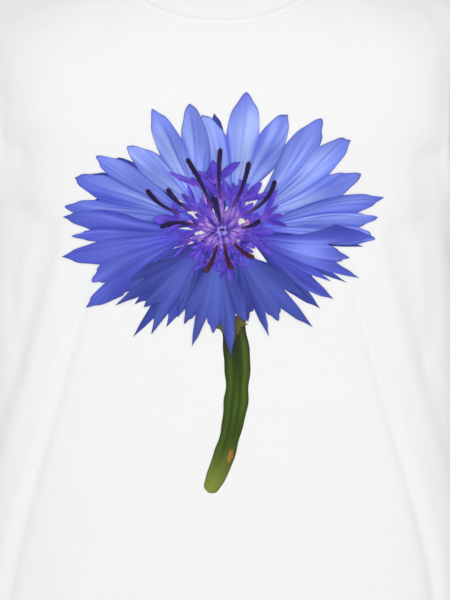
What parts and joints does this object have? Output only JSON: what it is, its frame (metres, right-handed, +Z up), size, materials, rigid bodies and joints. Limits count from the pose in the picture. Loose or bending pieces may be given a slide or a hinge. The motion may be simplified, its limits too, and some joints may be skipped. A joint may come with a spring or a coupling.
{
  "type": "printed t-shirt",
  "caption": "White crew-neck T-shirt with short sleeves and a blue cornflower transfer on the chest, in its worn shape, hollow and open at neck, cuffs and hem.",
  "frame": {"origin": "midway between the two high shoulder points, where the neck seam meets the shoulder seams", "axes": "+Z up along the body towards the neck, -Y out of the chest at the front, +X towards the wearer's left"},
  "size_m": [0.6906, 0.2211, 0.715],
  "materials": {
    "jersey": "matte white cotton single jersey with fine vertical wales",
    "rib_knit": "matte white cotton rib knit",
    "neck_tape": "matte white herringbone cotton tape",
    "seam_allowance": "matte overlocked jersey edge",
    "thread": "soft sheen of white spun sewing thread",
    "print": "thin satin film of ink in blues, violets and greens"
  },
  "bodies": {
    "root": {"front_panel": "jersey", "back_panel": "jersey", "left_sleeve": "jersey", "right_sleeve": "jersey", "neck_rib": "rib_knit", "back_neck_tape": "neck_tape", "left_armhole_seam": "seam_allowance", "right_armhole_seam": "seam_allowance", "left_underarm_seam": "seam_allowance", "right_underarm_seam": "seam_allowance", "left_side_seam": "seam_allowance", "right_side_seam": "seam_allowance", "left_shoulder_seam": "seam_allowance", "right_shoulder_seam": "seam_allowance", "neck_stitching": "thread", "hem_stitching": "thread", "left_cuff_stitching": "thread", "right_cuff_stitching": "thread", "flower_print": "print"}
  },
  "joints": []
}
